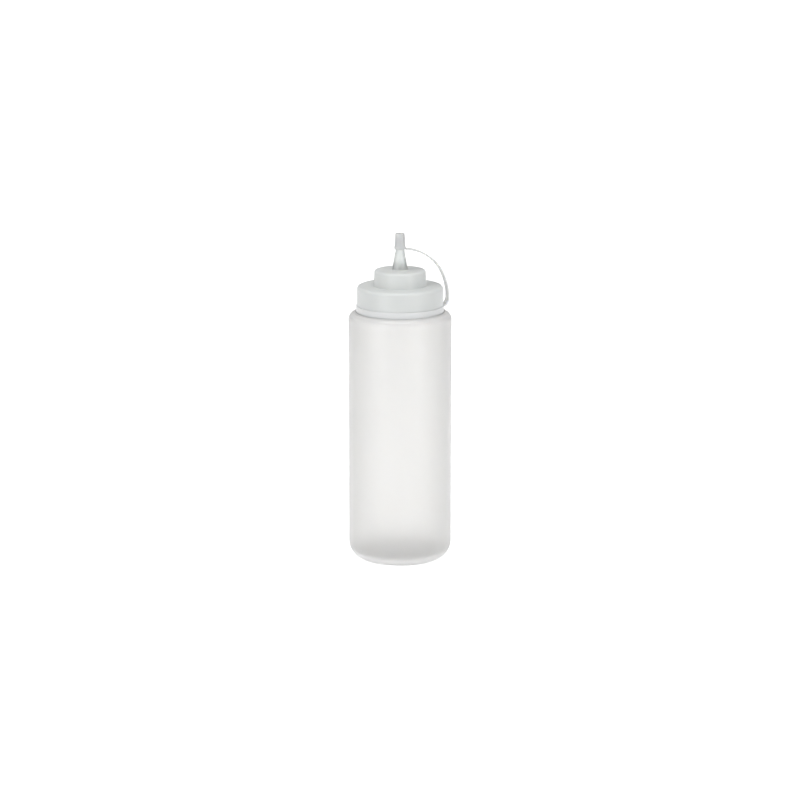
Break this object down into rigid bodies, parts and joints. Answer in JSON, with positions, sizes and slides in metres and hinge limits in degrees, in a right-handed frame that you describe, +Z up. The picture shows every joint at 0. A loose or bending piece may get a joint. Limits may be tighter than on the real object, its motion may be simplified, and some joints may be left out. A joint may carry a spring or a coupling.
{
  "type": "dispensing sauce bottle",
  "caption": "Round squeeze bottle with a threaded stepped cap, a conical nozzle and a small tip cap that flips open on a strap held by a ring.",
  "frame": {"origin": "centre of the base, on the surface that the bottle stands on", "axes": "+Z up along the bottle's axis, -Y towards the viewer of the picture, the strap out towards +X and a little back"},
  "size_m": [0.08, 0.08, 0.2568],
  "materials": {
    "bottle": "milky translucent, satin",
    "closure": "milky translucent, satin",
    "tether": "milky translucent, satin"
  },
  "bodies": {
    "bottle": {"bottle_body": "bottle", "bottle_shoulder": "bottle", "bottle_neck": "bottle"},
    "tether": {"tether_ring": "tether", "tip_strap": "tether"},
    "closure": {"cap_skirt": "closure", "cap_deck": "closure", "cap_tier": "closure", "cap_nozzle": "closure"},
    "tip": {"tip_cap": "tether"}
  },
  "joints": [
    {"name": "cap_lift", "type": "slide", "parent": "bottle", "child": "tether", "axis": [0, 0, 1], "range_m": [0, 0.0063]},
    {"name": "cap_turn", "type": "hinge", "parent": "tether", "child": "closure", "pos_m": [0, 0, 0.2], "axis": [0, 0, 1], "range_deg": [0, 540]},
    {"name": "tip_flip", "type": "hinge", "parent": "tether", "child": "tip", "pos_m": [0.01922, 0.00551, 0.2424], "axis": [-0.2756, 0.9613, 0], "range_deg": [0, 160], "deforming": ["tip_strap"]}
  ],
  "couplings": [
    {"joint": "cap_lift", "follows": "cap_turn", "m_per_rad": 0.00066845}
  ]
}
